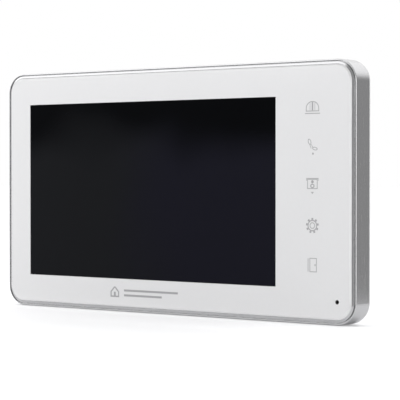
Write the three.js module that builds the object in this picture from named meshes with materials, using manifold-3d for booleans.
// Video intercom monitor: a flat wall unit with a 7 inch screen and five touch keys, on its steel bracket.
// Everything is drawn as a person in front of the wall sees it: X right, Y up, Z out of the wall.
// The last group turns the drawing so that +Z is up and the screen faces -Y. Millimetres throughout.
import * as THREE from 'three';
import { mergeVertices } from 'three/addons/utils/BufferGeometryUtils.js';
import Module from 'manifold-3d';

const wasm = await Module();
wasm.setup();

// ---------------------------------------------------------------- driving sizes
const GAP = 0.3;                  // air between two pieces that meet
const ARC_STEPS = 6;              // half the facets of a quarter-round corner
const SLOT_STEPS = 2;             // the same, on slots and other small outlines
const HOLE_SIDES = 12;            // facets of a screw hole
const ROD_SIDES = 16;
const TURNED_SIDES = 28;
const OVERCUT = 1;                // how far a cutting shape stands out of what it cuts
const ROOT = 0.5;                 // how far a boss is sunk into the wall it grows from
const SLIVER = 0.01;              // straight side left between the two rounded ends of a slot
const WELD = 1e-4;                // distance at which two corners count as one

// front face
const WINDOW_WIDTH = 155.1;       // dark window: the active area of the screen and a thin black border
const WINDOW_HEIGHT = 86.9;
const LEFT_MARGIN = 13.2;         // white face left of the window
const KEY_MARGIN = 40.3;          // white face right of the window, where the touch keys are
const END_MARGIN = 13.1;          // white face above and below the window
const FACE_CORNER = 7.1;
const PANEL_THICKNESS = 1.6;
const PANEL_BEVEL = 0.7;          // width of the sloping edge round the face
const PANEL_BEVEL_DROP = 0.7;
const RING_WIDTH = 1.0;
const RING_SETBACK = 0.85;        // from the face back to the front of the bright ring
const LIP_WIDTH = 0.7;            // front edge of the side frame, outside the ring
const LIP_SETBACK = 1.0;

// touch keys and microphone
const KEY_OFFSET = 20.4;          // from the window's right edge to the column of keys
const KEY_LEVELS = [37.9, 21.3, 3.9, -15.1, -32.9];
const KEY_BOARD_WIDTH = 16;
const KEY_BOARD_THICKNESS = 1;
const KEY_BOARD_END = 9;          // board beyond the first and last key
const LED_SIZE = 3;
const LED_HEIGHT = 1;
const MIC_INSET_X = 6.5;          // from the face's right and lower edges to the microphone hole
const MIC_INSET_Y = 7.5;
const MIC_HOLE_RADIUS = 1.0;
const MIC_RADIUS = 3;
const MIC_LENGTH = 2;
const BOOT_WALL = 1.2;
const BOOT_SHELF = 0.8;           // of the boot between the capsule and the panel

// side frame and rear housing
const UNIT_DEPTH = 18.6;          // front face to the back of the rear housing
const BAND_DEPTH = 10.7;          // the silver side, front to back
const BAND_EDGE = 0.4;            // its rounded edges
const FRAME_WALL = 1.8;
const LEDGE_THICKNESS = 1.2;      // shelf inside the frame, behind the panel
const HOUSING_WALL = 1.5;
const FLANGE_THICKNESS = 1;
const FLANGE_INSET = 0.5;
const TUB_INSET = 9;              // from the side of the unit in to the raised back
const TUB_CORNER = 5;
const TUB_EDGE = 1.2;

// screws
const BOSS_RADIUS = 2.6;
const HOUSING_SCREW_INSET = 19.1; // from the unit's side to the screw's axis
const HOUSING_BOSS_STANDOFF = 1;  // between the boss and the frame's wall
const SHANK_RADIUS = 1;
const HEAD_RADIUS = 2.1;
const HEAD_HEIGHT = 1.1;
const SCREW_GRIP = 4;             // length of the shank inside its boss
const RECESS_WIDTH = 0.7;         // cross recess in a screw's head
const RECESS_DEPTH = 0.5;
const RECESS_REACH = 0.6;         // of each arm of the cross, as a share of the head's radius

// screen module
const GASKET_SEAT = 3;            // from the window's edge out to the ledge's opening
const GASKET_INSET = 0.5;
const LCD_OVERLAP_X = 2;          // of the module's metal frame over the ledge
const LCD_OVERLAP_Y = 3.5;
const LCD_DEPTH = 5.6;
const LCD_SHEET = 0.8;
const LCD_RIM = 0.2;              // from the window's edge to the opening of the metal frame
const LCD_GLASS = 1.4;
const STRAP_THICKNESS = 0.8;
const STRAP_LENGTH = 70;
const STRAP_GRIP = 4;             // of the strap over the module
const STRAP_SCREW_LEVEL = 30;
const STRAP_BOSS_RADIUS = 2.4;
const STRAP_BOSS_STANDOFF = 1.8;
const STRAP_CORNER = 2;

// main board
const BOARD_LEFT = -56;
const BOARD_RIGHT = 60;
const BOARD_TOP = 38;
const BOARD_BOTTOM = -44;
const BOARD_THICKNESS = 1.6;
const BOARD_ROOM = 1.9;           // between the screen module and the board, for the screw heads
const BOARD_SCREW_INSET = 5;
const BOARD_SCREW_STANDOFF = 1;   // from the housing's floor to the screw's tip

// components on the board's rear side: middle, half width, half height and height above the board
const SHIELD_CAN = { x: 18, y: 14, halfWidth: 16, halfHeight: 12, rise: 2.4 };
const SHIELD_SHEET = 0.4;
const PROCESSOR = { x: 18, y: 14, halfWidth: 7, halfHeight: 7, rise: 1.2 };
const INDUCTOR = { x: -29, y: 16, halfWidth: 4, halfHeight: 4, rise: 3.2 };
const INDUCTOR_CORNER = 1;
const CAPACITOR_SPOTS = [[-17, 20], [-12, 20]];
const CAPACITOR_RADIUS = 1.75;
const CAPACITOR_LENGTH = 8;

// ribbons and their sockets
const RIBBON = 0.3;
const RIBBON_STEPS = 4;           // facets between two points of a ribbon's route
const RIBBON_LEVEL = 0.9;         // of a ribbon in its socket, from the socket's foot
const LCD_RIBBON_LEFT = -22;
const LCD_RIBBON_RIGHT = 0;
const KEY_RIBBON_BOTTOM = -10;
const KEY_RIBBON_TOP = -1;
const RIBBON_GRIP = 1;            // of a ribbon in its socket
const SOCKET_SIDE = 1;            // of a socket beyond its ribbon
const SOCKET_INSET = 1;           // from the board's edge to the socket's mouth
const SOCKET_HEIGHT = 1.8;
const SOCKET_DEPTH = 5.5;
const MOUTH_DEPTH = 2;
const MOUTH_TOP = 1.3;            // the mouth's two sides, from the socket's foot
const MOUTH_FOOT = 0.5;
const LCD_RIBBON_TAIL = 3;        // of the screen's ribbon over the board, behind the screen
const LCD_RIBBON_TURN = 1.5;      // past the board's edge, where it starts to bend
const LCD_RIBBON_BOW = 4;         // past the board's edge, at its outermost
const LCD_RIBBON_RETURN = 2.4;

// terminals, in a pocket in the back
const POCKET_HALF_WIDTH = 36;
const POCKET_TOP = -8;
const POCKET_BOTTOM = -34;
const POCKET_WALL = 1.2;
const TERMINAL_PITCH = 3.5;
const TERMINAL_MARGIN = 1.3;      // of the housing beyond the outer terminals
const TERMINAL_SETBACK = 0.3;     // from the back of the unit in to the terminals
const HEADER_LENGTH = 8;
const HEADER_WALL = 0.8;
const PLUG_LENGTH = 10;
const PLUG_NOSE = 5.5;
const CLAMP_RADIUS = 1.1;
const CLAMP_DEPTH = 2.4;
const WIRE_RADIUS = 0.8;
const WIRE_DEPTH = 3;             // of a wire's entry into the plug
const WIRE_OFFSET = 1;            // of the entry from the plug's middle, towards the board
const CLAMP_SLOT = 0.4;
const CLAMP_SLOT_DEPTH = 0.6;
const HEADER_FLOOR = 2;           // closed end of the header

// slide switch
const SWITCH_X = 55;
const SWITCH_Y = -20;
const SWITCH_LENGTH = 8.6;
const SWITCH_WIDTH = 4.4;
const SWITCH_HEIGHT = 3.4;
const SWITCH_WALL = 0.6;
const SWITCH_TRAVEL = 2;
const KNOB = 1.8;
const SHOE = 3.6;                 // length of the slider inside the switch

// speaker
const SPEAKER_RADIUS = 18;
const SPEAKER_Y = -14;
const SPEAKER_CLEARANCE = 1.1;    // from the housing's inner wall
const SPEAKER_RIM = 2.5;
const SPEAKER_FLANGE = 1.2;
const SPEAKER_GASKET = 0.6;
const SPEAKER_SLOTS = 7;
const SPEAKER_SLOT_WIDTH = 1.6;
const SPEAKER_SLOT_PITCH = 3.6;
const MAGNET_RADIUS = 9;
const CONE_SHEET = 0.4;
const CONE_DEPTH = 1.5;
const BASKET_DEPTH = 1.3;         // from the rim to the magnet's seat
const THROAT_INSET = 1;           // of the basket's throat inside the magnet's rim

// air slots at the top of the back
const VENT_COUNT = 9;
const VENT_WIDTH = 1.8;
const VENT_LENGTH = 7;
const VENT_PITCH = 6;
const VENT_LEVEL = 43;

// rating label, in a shallow recess
const LABEL_WIDTH = 38;
const LABEL_HEIGHT = 24;
const LABEL_X = 76;
const LABEL_Y = 16;
const LABEL_THICKNESS = 0.3;
const LABEL_CORNER = 1.2;

// wall bracket
const SHEET = 1.2;
const BRACKET_WIDTH = 104;
const BRACKET_HEIGHT = 74;
const BRACKET_CORNER = 4;
const BRACKET_GAP = 0.5;          // between the bracket and the back of the unit
const BRACKET_OPENING = 48;       // width of its two cable openings
const BRACKET_WEB = 18;           // height of the bridge between them
const BRACKET_TOP_OPENING = 16;
const BRACKET_CABLE_OPENING = 22;
const BOX_SCREW_SPACING = 60;     // screws of a round 60 mm wall box
const BOX_SLOT_WIDTH = 3.9;
const BOX_SLOT_LENGTH = 9;
const CORNER_HOLE_RADIUS = 1.9;
const CORNER_HOLE_INSET = 4;
const HOOK_X = 43;
const HOOK_LEVELS = [24, -20];    // upper side of each hook's neck
const HOOK_WIDTH = 8;
const HOOK_RISE = 6;
const LIFT = 7;                   // how far the unit is lifted to come off the hooks

// ---------------------------------------------------------------- sizes that follow
const EDGE_WIDTH = PANEL_BEVEL + GAP + RING_WIDTH + GAP + LIP_WIDTH;
const FACE_WIDTH = LEFT_MARGIN + WINDOW_WIDTH + KEY_MARGIN;
const FACE_HEIGHT = END_MARGIN + WINDOW_HEIGHT + END_MARGIN;
const BODY_WIDTH = FACE_WIDTH + 2 * EDGE_WIDTH;
const BODY_HEIGHT = FACE_HEIGHT + 2 * EDGE_WIDTH;
const BODY_CORNER = FACE_CORNER + EDGE_WIDTH;
const WINDOW_X = -FACE_WIDTH / 2 + LEFT_MARGIN + WINDOW_WIDTH / 2;
const KEY_X = WINDOW_X + WINDOW_WIDTH / 2 + KEY_OFFSET;
const MIC_X = FACE_WIDTH / 2 - MIC_INSET_X;
const MIC_Y = -FACE_HEIGHT / 2 + MIC_INSET_Y;
const BOOT_RADIUS = MIC_RADIUS + GAP + BOOT_WALL;

// levels above the wall
const BACK = SHEET + BRACKET_GAP;
const FRONT = BACK + UNIT_DEPTH;
const PANEL_BACK = FRONT - PANEL_THICKNESS;
const LEDGE_FRONT = PANEL_BACK - GAP;
const LEDGE_BACK = LEDGE_FRONT - LEDGE_THICKNESS;
const LCD_FRONT = LEDGE_BACK - GAP;
const LCD_BACK = LCD_FRONT - LCD_DEPTH;
const BAND_FRONT = FRONT - LIP_SETBACK;
const BAND_BACK = BAND_FRONT - BAND_DEPTH;
const FLANGE_FRONT = BAND_BACK - GAP;
const FLANGE_BACK = FLANGE_FRONT - FLANGE_THICKNESS;
const BOARD_FRONT = LCD_BACK - BOARD_ROOM;
const BOARD_BACK = BOARD_FRONT - BOARD_THICKNESS;
const ON_BOARD = BOARD_BACK - GAP;            // where a component on the board's rear side starts
const HOUSING_FLOOR = BACK + HOUSING_WALL;

const LEDGE_OPENING_WIDTH = WINDOW_WIDTH + 2 * GASKET_SEAT;
const LEDGE_OPENING_HEIGHT = WINDOW_HEIGHT + 2 * GASKET_SEAT;
const LCD_WIDTH = LEDGE_OPENING_WIDTH + 2 * LCD_OVERLAP_X;
const LCD_HEIGHT = LEDGE_OPENING_HEIGHT + 2 * LCD_OVERLAP_Y;
const STRAP_SCREW_OFFSET = LCD_WIDTH / 2 + STRAP_BOSS_STANDOFF + STRAP_BOSS_RADIUS;
const HOUSING_SCREW_X = BODY_WIDTH / 2 - HOUSING_SCREW_INSET;
const HOUSING_SCREW_Y = BODY_HEIGHT / 2 - FRAME_WALL - HOUSING_BOSS_STANDOFF - BOSS_RADIUS;
const TUB_WIDTH = BODY_WIDTH - 2 * TUB_INSET;
const TUB_HEIGHT = BODY_HEIGHT - 2 * TUB_INSET;
const SPEAKER_X = -TUB_WIDTH / 2 + HOUSING_WALL + SPEAKER_CLEARANCE + SPEAKER_RADIUS;
const KEY_BOARD_TOP = KEY_LEVELS[0] + KEY_BOARD_END;
const KEY_BOARD_BOTTOM = KEY_LEVELS[KEY_LEVELS.length - 1] - KEY_BOARD_END;

// ---------------------------------------------------------------- drawing helpers
function roundedOutline(width, height, radius, x = 0, y = 0) {
  const right = x + width / 2 - radius;
  const left = x - width / 2 + radius;
  const top = y + height / 2 - radius;
  const bottom = y - height / 2 + radius;
  const outline = new THREE.Shape();
  outline.absarc(right, bottom, radius, -Math.PI / 2, 0);
  outline.absarc(right, top, radius, 0, Math.PI / 2);
  outline.absarc(left, top, radius, Math.PI / 2, Math.PI);
  outline.absarc(left, bottom, radius, Math.PI, 1.5 * Math.PI);
  return outline;
}

function slab(outline, back, front, curveSegments = ARC_STEPS) {
  const options = { depth: front - back, bevelEnabled: false, curveSegments };
  return new THREE.ExtrudeGeometry(outline, options).translate(0, 0, back);
}

function block(left, right, bottom, top, back, front) {
  const box = new THREE.BoxGeometry(right - left, top - bottom, front - back);
  return box.translate((left + right) / 2, (bottom + top) / 2, (back + front) / 2);
}

function rod(x, y, radius, back, front, sides = ROD_SIDES) {
  const cylinder = new THREE.CylinderGeometry(radius, radius, front - back, sides);
  return cylinder.rotateX(Math.PI / 2).translate(x, y, (back + front) / 2);
}

function slot(x, y, width, height, back, front) {
  const outline = roundedOutline(width, height, (Math.min(width, height) - SLIVER) / 2, x, y);
  return slab(outline, back, front, SLOT_STEPS);
}

// a turned piece: [radius, level] pairs round an axis that stands on the wall
function turned(profile, x, y) {
  const points = profile.map(([radius, level]) => new THREE.Vector2(radius, level));
  return new THREE.LatheGeometry(points, TURNED_SIDES).rotateX(Math.PI / 2).translate(x, y, 0);
}

function toSolid(geometry) {
  const bare = geometry.clone();
  bare.deleteAttribute('normal');
  bare.deleteAttribute('uv');
  const merged = mergeVertices(bare, WELD);
  return new wasm.Manifold(new wasm.Mesh({
    numProp: 3,
    vertProperties: new Float32Array(merged.attributes.position.array),
    triVerts: new Uint32Array(merged.index.array),
  }));
}

function toGeometry(solid) {
  const mesh = solid.getMesh();
  const geometry = new THREE.BufferGeometry();
  geometry.setAttribute('position', new THREE.BufferAttribute(new Float32Array(mesh.vertProperties), 3));
  geometry.setIndex(new THREE.BufferAttribute(new Uint32Array(mesh.triVerts), 1));
  geometry.computeVertexNormals();
  return geometry;
}

// added pieces first, then everything that is cut away
function shaped(base, additions, cuts) {
  let solid = toSolid(base);
  for (const piece of additions) solid = solid.add(toSolid(piece));
  for (const piece of cuts) solid = solid.subtract(toSolid(piece));
  return toGeometry(solid);
}

// a slab whose front edge slopes or rounds in, by `inset` over the depth `drop`
function edgedSlab(outline, back, front, inset, drop, steps) {
  const blank = new THREE.ExtrudeGeometry(outline, {
    depth: front - back,
    bevelEnabled: true,
    bevelThickness: drop,
    bevelSize: inset,
    bevelOffset: -inset,
    bevelSegments: steps,
    curveSegments: ARC_STEPS,
  });
  blank.translate(0, 0, back - drop);
  const reach = BODY_WIDTH + BODY_HEIGHT;
  const below = block(-reach, reach, -reach, reach, back - 2 * drop - OVERCUT, back);
  return shaped(blank, [], [below]);
}

// a flat ribbon: its side view is a smooth line of constant thickness, given as [across, level] points
function ribbonShape(route, thickness) {
  const curve = new THREE.CatmullRomCurve3(route.map(([a, b]) => new THREE.Vector3(a, b, 0)));
  const steps = RIBBON_STEPS * (route.length - 1);
  const near = [];
  const far = [];
  for (let i = 0; i <= steps; i += 1) {
    const point = curve.getPoint(i / steps);
    const along = curve.getTangent(i / steps);
    const side = new THREE.Vector2(-along.y, along.x).multiplyScalar(thickness / 2);
    near.push(new THREE.Vector2(point.x + side.x, point.y + side.y));
    far.unshift(new THREE.Vector2(point.x - side.x, point.y - side.y));
  }
  return new THREE.Shape([...near, ...far]);
}

const unit = new THREE.Group();

function place(name, geometry, color, roughness, metalness) {
  const material = new THREE.MeshStandardMaterial({ color, roughness, metalness });
  const mesh = new THREE.Mesh(geometry, material);
  mesh.name = name;
  unit.add(mesh);
}

const mirrored = [-1, 1];

// ---------------------------------------------------------------- front
function buildFront() {
  const panelWidth = FACE_WIDTH + 2 * PANEL_BEVEL;
  const panelHeight = FACE_HEIGHT + 2 * PANEL_BEVEL;
  const panelCorner = FACE_CORNER + PANEL_BEVEL;
  const panelOutline = roundedOutline(panelWidth, panelHeight, panelCorner);
  const panelBlank = edgedSlab(panelOutline, PANEL_BACK, FRONT, PANEL_BEVEL, PANEL_BEVEL_DROP, 1);
  const left = WINDOW_X - WINDOW_WIDTH / 2;
  const right = WINDOW_X + WINDOW_WIDTH / 2;
  const top = WINDOW_HEIGHT / 2;
  const opening = block(left, right, -top, top, PANEL_BACK - OVERCUT, FRONT + OVERCUT);
  const micHole = rod(MIC_X, MIC_Y, MIC_HOLE_RADIUS, PANEL_BACK - OVERCUT, FRONT + OVERCUT);
  place('front_panel', shaped(panelBlank, [], [opening, micHole]), 0xe8e8ea, 0.12, 0);

  const pane = block(left + GAP, right - GAP, -top + GAP, top - GAP, PANEL_BACK, FRONT);
  place('display_window', pane, 0x101014, 0.05, 0);

  const ringInset = GAP + LIP_WIDTH;
  const ringWidth = BODY_WIDTH - 2 * ringInset;
  const ringHeight = BODY_HEIGHT - 2 * ringInset;
  const outer = roundedOutline(ringWidth, ringHeight, BODY_CORNER - ringInset);
  outer.holes.push(roundedOutline(panelWidth + 2 * GAP, panelHeight + 2 * GAP, panelCorner + GAP));
  place('trim_ring', slab(outer, PANEL_BACK, FRONT - RING_SETBACK), 0xb9bbbe, 0.18, 1);
}

function buildSideFrame() {
  const outline = roundedOutline(BODY_WIDTH, BODY_HEIGHT, BODY_CORNER);
  const blank = edgedSlab(outline, BAND_BACK, BAND_FRONT, BAND_EDGE, BAND_EDGE, 2);
  const seatInset = 2 * LIP_WIDTH;
  const wallInset = 2 * FRAME_WALL;
  const seat = roundedOutline(BODY_WIDTH - seatInset, BODY_HEIGHT - seatInset, BODY_CORNER - LIP_WIDTH);
  const hollow = roundedOutline(BODY_WIDTH - wallInset, BODY_HEIGHT - wallInset, BODY_CORNER - FRAME_WALL);
  const halfKeyBoard = KEY_BOARD_WIDTH / 2 + GAP;
  const cuts = [
    slab(seat, LEDGE_FRONT, BAND_FRONT + OVERCUT),
    slab(hollow, BAND_BACK - OVERCUT, LEDGE_BACK),
    block(
      WINDOW_X - LEDGE_OPENING_WIDTH / 2, WINDOW_X + LEDGE_OPENING_WIDTH / 2,
      -LEDGE_OPENING_HEIGHT / 2, LEDGE_OPENING_HEIGHT / 2, LEDGE_BACK - OVERCUT, LEDGE_FRONT + OVERCUT,
    ),
    block(
      KEY_X - halfKeyBoard, KEY_X + halfKeyBoard,
      KEY_BOARD_BOTTOM - GAP, KEY_BOARD_TOP + GAP, LEDGE_BACK - OVERCUT, LEDGE_FRONT + OVERCUT,
    ),
    rod(MIC_X, MIC_Y, BOOT_RADIUS + GAP, LEDGE_BACK - OVERCUT, LEDGE_FRONT + OVERCUT, TURNED_SIDES),
  ];
  const bosses = [];
  const holes = [];
  const hole = SHANK_RADIUS + GAP;
  for (const side of mirrored) {
    for (const end of mirrored) {
      const x = side * HOUSING_SCREW_X;
      const y = end * HOUSING_SCREW_Y;
      bosses.push(rod(x, y, BOSS_RADIUS, BAND_BACK, LEDGE_BACK + LEDGE_THICKNESS / 2));
      holes.push(rod(x, y, hole, BAND_BACK - OVERCUT, BAND_BACK + SCREW_GRIP + GAP, HOLE_SIDES));
      const strapX = WINDOW_X + side * STRAP_SCREW_OFFSET;
      const strapY = end * STRAP_SCREW_LEVEL;
      bosses.push(rod(strapX, strapY, STRAP_BOSS_RADIUS, LCD_BACK, LEDGE_BACK + LEDGE_THICKNESS / 2));
      holes.push(rod(strapX, strapY, hole, LCD_BACK - OVERCUT, LCD_BACK + SCREW_GRIP + GAP, HOLE_SIDES));
    }
  }
  const shell = shaped(blank, [], cuts);
  place('side_frame', shaped(shell, bosses, holes), 0x9c9ea1, 0.35, 0.9);
}

// ---------------------------------------------------------------- touch keys and microphone
function buildKeys() {
  const left = KEY_X - KEY_BOARD_WIDTH / 2;
  const right = KEY_X + KEY_BOARD_WIDTH / 2;
  const boardBack = LEDGE_FRONT - KEY_BOARD_THICKNESS;
  const board = block(left, right, KEY_BOARD_BOTTOM, KEY_BOARD_TOP, boardBack, LEDGE_FRONT);
  const half = LED_SIZE / 2;
  const windows = KEY_LEVELS.map((y) => (
    block(KEY_X - half, KEY_X + half, y - half, y + half, boardBack - OVERCUT, LEDGE_FRONT + OVERCUT)
  ));
  place('touch_key_board', shaped(board, [], windows), 0x1d4d33, 0.5, 0);

  const ledFront = boardBack - GAP;
  KEY_LEVELS.forEach((y, index) => {
    const base = block(KEY_X - half, KEY_X + half, y - half, y + half, ledFront - LED_HEIGHT, ledFront);
    const lens = rod(KEY_X, y, half - 2 * GAP, ledFront - LED_HEIGHT / 2, ledFront + GAP / 2);
    place(`key_led_${index + 1}`, shaped(base, [lens], []), 0xf2f2e6, 0.3, 0);
  });
}

function buildMicrophone() {
  const shelf = LEDGE_FRONT - BOOT_SHELF;
  const capsuleFront = shelf - GAP;
  const bootBack = capsuleFront - MIC_LENGTH - GAP;
  const pocket = MIC_RADIUS + GAP;
  const boot = turned([
    [MIC_HOLE_RADIUS, shelf],
    [pocket, shelf],
    [pocket, bootBack],
    [BOOT_RADIUS, bootBack],
    [BOOT_RADIUS, LEDGE_FRONT],
    [MIC_HOLE_RADIUS, LEDGE_FRONT],
    [MIC_HOLE_RADIUS, shelf],
  ], MIC_X, MIC_Y);
  place('microphone_boot', boot, 0x1a1a1a, 0.8, 0);
  const capsule = rod(MIC_X, MIC_Y, MIC_RADIUS, capsuleFront - MIC_LENGTH, capsuleFront);
  place('microphone', capsule, 0xb4b6b8, 0.3, 1);
}

// ---------------------------------------------------------------- screen module
function buildScreen() {
  const gasketWidth = LEDGE_OPENING_WIDTH - 2 * GAP;
  const gasketHeight = LEDGE_OPENING_HEIGHT - 2 * GAP;
  const halfWidth = WINDOW_WIDTH / 2 + GASKET_INSET;
  const halfHeight = WINDOW_HEIGHT / 2 + GASKET_INSET;
  const gasket = shaped(
    block(
      WINDOW_X - gasketWidth / 2, WINDOW_X + gasketWidth / 2,
      -gasketHeight / 2, gasketHeight / 2, LEDGE_BACK, LEDGE_FRONT,
    ),
    [],
    [block(
      WINDOW_X - halfWidth, WINDOW_X + halfWidth, -halfHeight, halfHeight,
      LEDGE_BACK - OVERCUT, LEDGE_FRONT + OVERCUT,
    )],
  );
  place('lcd_gasket', gasket, 0x222222, 0.95, 0);

  const left = WINDOW_X - LCD_WIDTH / 2;
  const right = WINDOW_X + LCD_WIDTH / 2;
  const top = LCD_HEIGHT / 2;
  const rimX = WINDOW_WIDTH / 2 + LCD_RIM;
  const rimY = WINDOW_HEIGHT / 2 + LCD_RIM;
  const inside = LCD_FRONT - LCD_SHEET;
  const metal = shaped(
    block(left, right, -top, top, LCD_BACK, LCD_FRONT),
    [],
    [
      block(
        left + LCD_SHEET, right - LCD_SHEET, -top + LCD_SHEET, top - LCD_SHEET,
        LCD_BACK - OVERCUT, inside,
      ),
      block(WINDOW_X - rimX, WINDOW_X + rimX, -rimY, rimY, inside - OVERCUT, LCD_FRONT + OVERCUT),
    ],
  );
  place('lcd_frame', metal, 0xa8aaad, 0.35, 1);

  const edge = LCD_SHEET + GAP;
  const glassFront = inside - GAP;
  const glassBack = glassFront - LCD_GLASS;
  const glass = block(left + edge, right - edge, -top + edge, top - edge, glassBack, glassFront);
  place('lcd_glass', glass, 0x08080c, 0.08, 0);
  const guide = block(left + edge, right - edge, -top + edge, top - edge, LCD_BACK + GAP, glassBack - GAP);
  place('lcd_light_guide', guide, 0xe4e8ea, 0.2, 0);

  const strapFront = LCD_BACK - GAP;
  const strapBack = strapFront - STRAP_THICKNESS;
  const strapEnd = STRAP_SCREW_OFFSET + STRAP_BOSS_RADIUS;
  const strapStart = LCD_WIDTH / 2 - STRAP_GRIP;
  const strapSides = { left: -1, right: 1 };
  let count = 0;
  for (const [name, side] of Object.entries(strapSides)) {
    const width = strapEnd - strapStart;
    const middle = WINDOW_X + side * (strapStart + width / 2);
    const outline = roundedOutline(width, STRAP_LENGTH, STRAP_CORNER, middle);
    const screwX = WINDOW_X + side * STRAP_SCREW_OFFSET;
    const holes = [];
    for (const end of mirrored) {
      const y = end * STRAP_SCREW_LEVEL;
      holes.push(rod(screwX, y, SHANK_RADIUS + GAP, strapBack - OVERCUT, strapFront + OVERCUT, HOLE_SIDES));
      count += 1;
      const strapScrew = screw(screwX, y, strapBack - GAP, LCD_BACK + SCREW_GRIP, 1);
      place(`lcd_bracket_screw_${count}`, strapScrew, 0x8f9194, 0.3, 1);
    }
    const strap = slab(outline, strapBack, strapFront, SLOT_STEPS);
    place(`lcd_bracket_${name}`, shaped(strap, [], holes), 0xb0b2b4, 0.4, 1);
  }
}

// a screw driven towards +Z (way 1) or towards the wall (way -1), its head's underside at `seat`
function screw(x, y, seat, tip, way) {
  const head = seat - way * HEAD_HEIGHT;
  const low = Math.min(head, seat);
  const high = Math.max(head, seat);
  const root = seat - way * GAP;
  const shank = rod(x, y, SHANK_RADIUS, Math.min(root, tip), Math.max(root, tip), HOLE_SIDES);
  const floor = head + way * RECESS_DEPTH;
  const outside = head - way * OVERCUT;
  const depth = [Math.min(floor, outside), Math.max(floor, outside)];
  const arm = HEAD_RADIUS * RECESS_REACH;
  const width = RECESS_WIDTH / 2;
  const recess = [
    block(x - arm, x + arm, y - width, y + width, ...depth),
    block(x - width, x + width, y - arm, y + arm, ...depth),
  ];
  return shaped(rod(x, y, HEAD_RADIUS, low, high), [shank], recess);
}

// ---------------------------------------------------------------- main board
function boardScrewSpots() {
  const xs = [BOARD_LEFT + BOARD_SCREW_INSET, BOARD_RIGHT - BOARD_SCREW_INSET];
  const ys = [BOARD_TOP - BOARD_SCREW_INSET, BOARD_BOTTOM + BOARD_SCREW_INSET];
  return xs.flatMap((x) => ys.map((y) => [x, y]));
}

function buildBoard() {
  const board = block(BOARD_LEFT, BOARD_RIGHT, BOARD_BOTTOM, BOARD_TOP, BOARD_BACK, BOARD_FRONT);
  const holes = [];
  boardScrewSpots().forEach(([x, y], index) => {
    holes.push(rod(x, y, SHANK_RADIUS + GAP, BOARD_BACK - OVERCUT, BOARD_FRONT + OVERCUT, HOLE_SIDES));
    const head = BOARD_FRONT + GAP;
    const tip = HOUSING_FLOOR + BOARD_SCREW_STANDOFF;
    place(`board_screw_${index + 1}`, screw(x, y, head, tip, -1), 0x8f9194, 0.3, 1);
  });
  place('main_board', shaped(board, [], holes), 0x1d4d33, 0.5, 0);

  const can = shaped(component(SHIELD_CAN, 0), [], [component(SHIELD_CAN, SHIELD_SHEET)]);
  place('shield_can', can, 0xbfc1c3, 0.3, 1);
  place('processor', component(PROCESSOR, 0), 0x151515, 0.5, 0);
  const { x, y, halfWidth, halfHeight, rise } = INDUCTOR;
  const cutCorners = roundedOutline(2 * halfWidth, 2 * halfHeight, INDUCTOR_CORNER, x, y);
  place('inductor', slab(cutCorners, ON_BOARD - rise, ON_BOARD, SLOT_STEPS), 0x2c2c2e, 0.6, 0);
  CAPACITOR_SPOTS.forEach(([spotX, spotY], index) => {
    const radius = CAPACITOR_RADIUS;
    const sleeve = new THREE.CylinderGeometry(radius, radius, CAPACITOR_LENGTH, ROD_SIDES);
    sleeve.translate(spotX, spotY, ON_BOARD - radius);
    place(`capacitor_${index + 1}`, sleeve, 0x2a3550, 0.4, 0);
  });
}

// a block on the board's rear side, or the hollow that leaves it a wall of the given thickness
function component({ x, y, halfWidth, halfHeight, rise }, wall) {
  const front = wall > 0 ? ON_BOARD + OVERCUT : ON_BOARD;
  const across = halfWidth - wall;
  const up = halfHeight - wall;
  return block(x - across, x + across, y - up, y + up, ON_BOARD - rise + wall, front);
}

// ---------------------------------------------------------------- ribbons and their sockets
// a socket on the board, as a block with a mouth in the side that the ribbon comes from
function ribbonSocket(name, blank, mouth) {
  place(name, shaped(blank, [], [mouth]), 0xd8cfb8, 0.5, 0);
}

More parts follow.
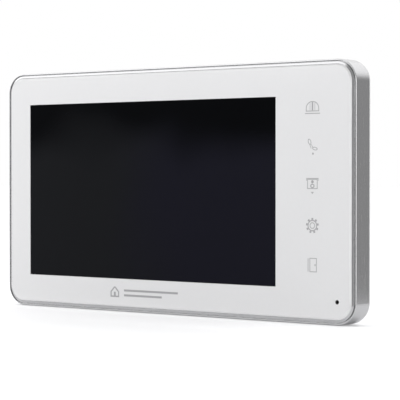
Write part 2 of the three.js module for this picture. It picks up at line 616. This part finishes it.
function buildRibbons() {
  const socketBack = ON_BOARD - SOCKET_HEIGHT;
  const mouthLevels = [ON_BOARD - MOUTH_TOP, ON_BOARD - MOUTH_FOOT];
  const ribbonLevel = ON_BOARD - RIBBON_LEVEL;
  const lcdMouth = BOARD_BOTTOM + SOCKET_INSET;
  ribbonSocket(
    'lcd_connector',
    block(
      LCD_RIBBON_LEFT - SOCKET_SIDE, LCD_RIBBON_RIGHT + SOCKET_SIDE,
      lcdMouth, lcdMouth + SOCKET_DEPTH, socketBack, ON_BOARD,
    ),
    block(
      LCD_RIBBON_LEFT - GAP, LCD_RIBBON_RIGHT + GAP,
      lcdMouth - OVERCUT, lcdMouth + MOUTH_DEPTH, ...mouthLevels,
    ),
  );
  const tail = LCD_BACK - GAP - RIBBON / 2;
  const lcdRoute = [
    [lcdMouth + LCD_RIBBON_TAIL, tail],
    [lcdMouth - LCD_RIBBON_TURN, tail],
    [lcdMouth - LCD_RIBBON_BOW, BOARD_FRONT + GAP],
    [lcdMouth - LCD_RIBBON_BOW, BOARD_BACK],
    [lcdMouth - LCD_RIBBON_RETURN, ribbonLevel],
    [lcdMouth + RIBBON_GRIP, ribbonLevel],
  ];
  // drawn in the (Y, Z) plane and swept along X
  const lcdRibbon = new THREE.ExtrudeGeometry(ribbonShape(lcdRoute, RIBBON), {
    depth: LCD_RIBBON_RIGHT - LCD_RIBBON_LEFT,
    bevelEnabled: false,
  });
  const sideways = new THREE.Matrix4().makeBasis(
    new THREE.Vector3(0, 1, 0), new THREE.Vector3(0, 0, 1), new THREE.Vector3(1, 0, 0),
  );
  lcdRibbon.applyMatrix4(sideways).translate(LCD_RIBBON_LEFT, 0, 0);
  place('lcd_ribbon', lcdRibbon, 0xc98f3c, 0.45, 0);

  const keyMouth = BOARD_RIGHT - SOCKET_INSET;
  ribbonSocket(
    'key_connector',
    block(
      keyMouth - SOCKET_DEPTH, keyMouth,
      KEY_RIBBON_BOTTOM - SOCKET_SIDE, KEY_RIBBON_TOP + SOCKET_SIDE, socketBack, ON_BOARD,
    ),
    block(
      keyMouth - MOUTH_DEPTH, keyMouth + OVERCUT,
      KEY_RIBBON_BOTTOM - GAP, KEY_RIBBON_TOP + GAP, ...mouthLevels,
    ),
  );
  const keyBack = LEDGE_FRONT - KEY_BOARD_THICKNESS - GAP - RIBBON / 2;
  const keyLeft = KEY_X - KEY_BOARD_WIDTH / 2;
  const strapBack = LCD_BACK - GAP - STRAP_THICKNESS;
  // flat behind the key board, down past the end of the strap, then across to the socket
  const keyRoute = [
    [keyLeft + 7, keyBack],
    [keyLeft + 4, keyBack],
    [keyLeft + 2, keyBack - 2.5],
    [keyLeft + 1.5, strapBack + 1],
    [keyLeft - 0.5, strapBack - 1.7],
    [keyMouth + 8, ribbonLevel + 0.4],
    [keyMouth + 2, ribbonLevel],
    [keyMouth - RIBBON_GRIP, ribbonLevel],
  ];
  // drawn in the (X, Z) plane and swept along Y
  const keyRibbon = new THREE.ExtrudeGeometry(ribbonShape(keyRoute, RIBBON), {
    depth: KEY_RIBBON_TOP - KEY_RIBBON_BOTTOM,
    bevelEnabled: false,
  });
  keyRibbon.rotateX(Math.PI / 2).translate(0, KEY_RIBBON_TOP, 0);
  place('key_ribbon', keyRibbon, 0xc98f3c, 0.45, 0);
}

// ---------------------------------------------------------------- terminals
const TERMINALS = [
  { name: 'door', side: -1, poles: 4 },
  { name: 'power', side: 1, poles: 2 },
];

function buildTerminals() {
  const back = BACK + TERMINAL_SETBACK;
  const front = ON_BOARD;
  const middle = (back + front) / 2;
  const y = (POCKET_TOP + POCKET_BOTTOM) / 2;
  for (const { name, side, poles } of TERMINALS) {
    const half = (poles * TERMINAL_PITCH) / 2 + TERMINAL_MARGIN;
    const outer = POCKET_HALF_WIDTH - 2 * GAP;
    const mouth = outer - HEADER_LENGTH;
    // x positions are given from the middle outwards and mirrored to the terminal's own side
    const across = (near, far) => [Math.min(side * near, side * far), Math.max(side * near, side * far)];
    const inner = half - HEADER_WALL;
    const header = shaped(
      block(...across(mouth, outer), y - half, y + half, back, front),
      [],
      [block(
        ...across(mouth - OVERCUT, outer - HEADER_FLOOR),
        y - inner, y + inner, back + HEADER_WALL, front - HEADER_WALL,
      )],
    );
    place(`terminal_header_${name}`, header, 0x2f7d4a, 0.5, 0);

    const noseHalf = inner - GAP;
    const shoulder = mouth - GAP;
    const end = shoulder - PLUG_LENGTH;
    const cuts = [];
    for (let pole = 0; pole < poles; pole += 1) {
      const poleY = y + (pole - (poles - 1) / 2) * TERMINAL_PITCH;
      const clampX = side * (end + PLUG_LENGTH / 2);
      cuts.push(rod(clampX, poleY, CLAMP_RADIUS + GAP, back - OVERCUT, back + CLAMP_DEPTH, HOLE_SIDES));
      const length = WIRE_DEPTH + OVERCUT;
      const entry = new THREE.CylinderGeometry(WIRE_RADIUS, WIRE_RADIUS, length, HOLE_SIDES);
      const entryX = side * (end + WIRE_DEPTH - length / 2);
      cuts.push(entry.rotateZ(Math.PI / 2).translate(entryX, poleY, middle + WIRE_OFFSET));
      const clamp = clampScrew(clampX, poleY, back + GAP, back + CLAMP_DEPTH - GAP);
      place(`clamp_screw_${name}_${pole + 1}`, clamp, 0xb8babc, 0.3, 1);
    }
    const noseLow = back + HEADER_WALL + GAP;
    const noseHigh = front - HEADER_WALL - GAP;
    const nose = block(
      ...across(shoulder - ROOT, mouth + PLUG_NOSE), y - noseHalf, y + noseHalf, noseLow, noseHigh,
    );
    const plug = shaped(block(...across(end, shoulder), y - half, y + half, back, front), [nose], cuts);
    place(`terminal_plug_${name}`, plug, 0x2f7d4a, 0.5, 0);
  }
}

function clampScrew(x, y, back, front) {
  const reach = CLAMP_RADIUS + OVERCUT;
  const half = CLAMP_SLOT / 2;
  const cut = block(x - reach, x + reach, y - half, y + half, back - OVERCUT, back + CLAMP_SLOT_DEPTH);
  return shaped(rod(x, y, CLAMP_RADIUS, back, front, HOLE_SIDES), [], [cut]);
}

// ---------------------------------------------------------------- slide switch
// the knob's left and right sides at rest
function switchKnobSides() {
  return [SWITCH_X - SWITCH_TRAVEL / 2 - KNOB / 2, SWITCH_X - SWITCH_TRAVEL / 2 + KNOB / 2];
}

function buildSwitch() {
  const half = SWITCH_LENGTH / 2;
  const halfWidth = SWITCH_WIDTH / 2;
  const back = ON_BOARD - SWITCH_HEIGHT;
  const [knobLeft, knobRight] = switchKnobSides();
  const cavityHalf = halfWidth - SWITCH_WALL;
  const body = shaped(
    block(SWITCH_X - half, SWITCH_X + half, SWITCH_Y - halfWidth, SWITCH_Y + halfWidth, back, ON_BOARD),
    [],
    [
      block(
        SWITCH_X - half + SWITCH_WALL, SWITCH_X + half - SWITCH_WALL,
        SWITCH_Y - cavityHalf, SWITCH_Y + cavityHalf, back + SWITCH_WALL, ON_BOARD - SWITCH_WALL,
      ),
      block(
        knobLeft - GAP, knobRight + SWITCH_TRAVEL + GAP,
        SWITCH_Y - KNOB / 2 - GAP, SWITCH_Y + KNOB / 2 + GAP, back - OVERCUT, back + SWITCH_WALL + ROOT,
      ),
    ],
  );
  place('switch_body', body, 0x9a9c9f, 0.35, 1);
  const middle = (knobLeft + knobRight) / 2;
  const shoeHalf = cavityHalf - GAP;
  const slider = shaped(
    block(
      middle - SHOE / 2, middle + SHOE / 2, SWITCH_Y - shoeHalf, SWITCH_Y + shoeHalf,
      back + SWITCH_WALL + GAP, ON_BOARD - SWITCH_WALL - GAP,
    ),
    [block(
      knobLeft, knobRight, SWITCH_Y - KNOB / 2, SWITCH_Y + KNOB / 2,
      BACK + GAP, back + SWITCH_WALL + GAP + ROOT,
    )],
    [],
  );
  place('switch_slider', slider, 0x1c1c1e, 0.5, 0);
}

// ---------------------------------------------------------------- speaker
function buildSpeaker() {
  const gasketBack = HOUSING_FLOOR + GAP;
  const gasketFront = gasketBack + SPEAKER_GASKET;
  const rimBack = gasketFront + GAP;
  const rimFront = rimBack + SPEAKER_FLANGE;
  const inner = SPEAKER_RADIUS - SPEAKER_RIM;
  const gasket = turned([
    [inner, gasketBack],
    [SPEAKER_RADIUS, gasketBack],
    [SPEAKER_RADIUS, gasketFront],
    [inner, gasketFront],
    [inner, gasketBack],
  ], SPEAKER_X, SPEAKER_Y);
  place('speaker_gasket', gasket, 0x222222, 0.95, 0);

  const throat = MAGNET_RADIUS - THROAT_INSET;
  const seatBack = rimFront + BASKET_DEPTH;
  const seatFront = seatBack + SPEAKER_FLANGE;
  const basket = turned([
    [inner, rimBack],
    [SPEAKER_RADIUS, rimBack],
    [SPEAKER_RADIUS, rimFront],
    [inner + 0.5, rimFront],
    [throat + 2, seatFront],
    [throat - 3, seatFront],
    [throat - 3, seatBack],
    [throat + 1, seatBack],
    [inner, rimFront - 0.2],
    [inner, rimBack],
  ], SPEAKER_X, SPEAKER_Y);
  place('speaker_basket', basket, 0x3a3a3c, 0.5, 1);

  const coneEdge = inner - GAP;
  const coneFoot = throat - 2;
  const coneBack = rimBack + CONE_DEPTH;
  const cone = turned([
    [0, coneBack],
    [coneFoot, coneBack],
    [coneEdge, rimBack + 0.1],
    [coneEdge, rimBack + 0.1 + CONE_SHEET],
    [coneFoot, coneBack + CONE_SHEET],
    [0, coneBack + CONE_SHEET],
  ], SPEAKER_X, SPEAKER_Y);
  place('speaker_cone', cone, 0x202022, 0.9, 0);

  const magnetFront = LCD_BACK - 2 * GAP;
  const magnet = rod(SPEAKER_X, SPEAKER_Y, MAGNET_RADIUS, seatFront + GAP, magnetFront, TURNED_SIDES);
  place('speaker_magnet', magnet, 0x8d8f92, 0.4, 1);
}

// ---------------------------------------------------------------- rear housing
function buildRearHousing() {
  const flange = roundedOutline(
    BODY_WIDTH - 2 * FLANGE_INSET, BODY_HEIGHT - 2 * FLANGE_INSET, BODY_CORNER - FLANGE_INSET,
  );
  // the raised back is drawn face down, so that its rounded edge comes out towards the wall
  const tubOutline = roundedOutline(TUB_WIDTH, TUB_HEIGHT, TUB_CORNER);
  const tub = edgedSlab(tubOutline, -FLANGE_FRONT, -BACK, TUB_EDGE, TUB_EDGE, 2);
  tub.rotateY(Math.PI);
  const inset = 2 * HOUSING_WALL;
  const hollow = roundedOutline(TUB_WIDTH - inset, TUB_HEIGHT - inset, TUB_CORNER - HOUSING_WALL);
  const cavity = slab(hollow, HOUSING_FLOOR, FLANGE_FRONT + OVERCUT);
  const shell = shaped(slab(flange, FLANGE_BACK, FLANGE_FRONT), [tub], [cavity]);

  const wall = POCKET_WALL;
  const additions = [
    block(
      -POCKET_HALF_WIDTH - wall, POCKET_HALF_WIDTH + wall, POCKET_BOTTOM - wall, POCKET_TOP + wall,
      HOUSING_FLOOR - ROOT, ON_BOARD,
    ),
  ];
  const through = [BACK - OVERCUT, HOUSING_FLOOR + OVERCUT];
  const cuts = [
    block(
      -POCKET_HALF_WIDTH, POCKET_HALF_WIDTH, POCKET_BOTTOM, POCKET_TOP,
      BACK - OVERCUT, ON_BOARD + OVERCUT,
    ),
  ];
  const hole = SHANK_RADIUS + GAP;
  const boreFloor = HOUSING_FLOOR + BOARD_SCREW_STANDOFF - GAP;
  for (const [x, y] of boardScrewSpots()) {
    additions.push(rod(x, y, BOSS_RADIUS, HOUSING_FLOOR - ROOT, ON_BOARD));
    cuts.push(rod(x, y, hole, boreFloor, ON_BOARD + OVERCUT, HOLE_SIDES));
  }
  for (const side of mirrored) {
    for (const end of mirrored) {
      const x = side * HOUSING_SCREW_X;
      const y = end * HOUSING_SCREW_Y;
      cuts.push(rod(x, y, hole, FLANGE_BACK - OVERCUT, FLANGE_FRONT + OVERCUT, HOLE_SIDES));
    }
    for (const level of HOOK_LEVELS) {
      const half = HOOK_WIDTH / 2 + GAP;
      const top = level + GAP;
      const x = side * HOOK_X;
      cuts.push(block(x - half, x + half, top - slotHeight(), top, ...through));
    }
  }
  const [knobLeft, knobRight] = switchKnobSides();
  const knobHalf = KNOB / 2 + GAP;
  cuts.push(block(
    knobLeft - GAP, knobRight + SWITCH_TRAVEL + GAP, SWITCH_Y - knobHalf, SWITCH_Y + knobHalf, ...through,
  ));
  const firstVent = (-(VENT_COUNT - 1) / 2) * VENT_PITCH;
  for (let i = 0; i < VENT_COUNT; i += 1) {
    cuts.push(slot(firstVent + i * VENT_PITCH, VENT_LEVEL, VENT_WIDTH, VENT_LENGTH, ...through));
  }
  const reach = SPEAKER_RADIUS - 2 * SPEAKER_RIM;
  for (let i = 0; i < SPEAKER_SLOTS; i += 1) {
    const offset = (i - (SPEAKER_SLOTS - 1) / 2) * SPEAKER_SLOT_PITCH;
    const length = 2 * Math.sqrt(reach * reach - offset * offset);
    cuts.push(slot(SPEAKER_X, SPEAKER_Y + offset, length, SPEAKER_SLOT_WIDTH, ...through));
  }
  const recessWidth = LABEL_WIDTH + 2 * GAP;
  const recessHeight = LABEL_HEIGHT + 2 * GAP;
  const recess = roundedOutline(recessWidth, recessHeight, LABEL_CORNER + GAP, LABEL_X, LABEL_Y);
  cuts.push(slab(recess, BACK - OVERCUT, BACK + LABEL_THICKNESS + GAP, SLOT_STEPS));
  place('rear_housing', shaped(shell, additions, cuts), 0xdcdcde, 0.45, 0);

  const label = roundedOutline(LABEL_WIDTH, LABEL_HEIGHT, LABEL_CORNER, LABEL_X, LABEL_Y);
  place('rating_label', slab(label, BACK, BACK + LABEL_THICKNESS, SLOT_STEPS), 0xc8c9cb, 0.4, 0);

  let count = 0;
  for (const side of mirrored) {
    for (const end of mirrored) {
      count += 1;
      const x = side * HOUSING_SCREW_X;
      const y = end * HOUSING_SCREW_Y;
      const housingScrew = screw(x, y, FLANGE_BACK - GAP, BAND_BACK + SCREW_GRIP, 1);
      place(`housing_screw_${count}`, housingScrew, 0x8f9194, 0.3, 1);
    }
  }
}

// the slot lets the neck of a hook pass at rest and with the unit lifted
function slotHeight() {
  return SHEET + LIFT + 2 * GAP;
}

// ---------------------------------------------------------------- wall bracket
function buildBracket() {
  const plate = slab(roundedOutline(BRACKET_WIDTH, BRACKET_HEIGHT, BRACKET_CORNER), 0, SHEET);
  const through = [-OVERCUT, SHEET + OVERCUT];
  const half = BRACKET_OPENING / 2;
  const web = BRACKET_WEB / 2;
  const cuts = [
    block(-half, half, web, web + BRACKET_TOP_OPENING, ...through),
    block(-half, half, -web - BRACKET_CABLE_OPENING, -web, ...through),
  ];
  const hooks = [];
  const tongueBack = HOUSING_FLOOR + GAP;
  for (const side of mirrored) {
    cuts.push(slot(side * BOX_SCREW_SPACING / 2, 0, BOX_SLOT_LENGTH, BOX_SLOT_WIDTH, ...through));
    for (const end of mirrored) {
      const x = side * (BRACKET_WIDTH / 2 - CORNER_HOLE_INSET);
      const y = end * (BRACKET_HEIGHT / 2 - CORNER_HOLE_INSET);
      cuts.push(rod(x, y, CORNER_HOLE_RADIUS, ...through, HOLE_SIDES));
    }
    for (const level of HOOK_LEVELS) {
      const left = side * HOOK_X - HOOK_WIDTH / 2;
      const right = left + HOOK_WIDTH;
      const neck = level - SHEET;
      hooks.push(block(left, right, neck, level, SHEET / 2, tongueBack + SHEET));
      hooks.push(block(left, right, neck, level + HOOK_RISE, tongueBack, tongueBack + SHEET));
      // the window that the hook's strip was bent out of
      cuts.push(block(left, right, neck - HOOK_RISE - SHEET, neck, ...through));
    }
  }
  const punched = shaped(plate, [], cuts);
  place('wall_bracket', shaped(punched, hooks, []), 0xb4b6b9, 0.35, 1);
}

buildFront();
buildSideFrame();
buildKeys();
buildMicrophone();
buildScreen();
buildBoard();
buildRibbons();
buildTerminals();
buildSwitch();
buildSpeaker();
buildRearHousing();
buildBracket();

unit.rotation.x = Math.PI / 2;
const monitor = new THREE.Group();
monitor.add(unit);

export default monitor;
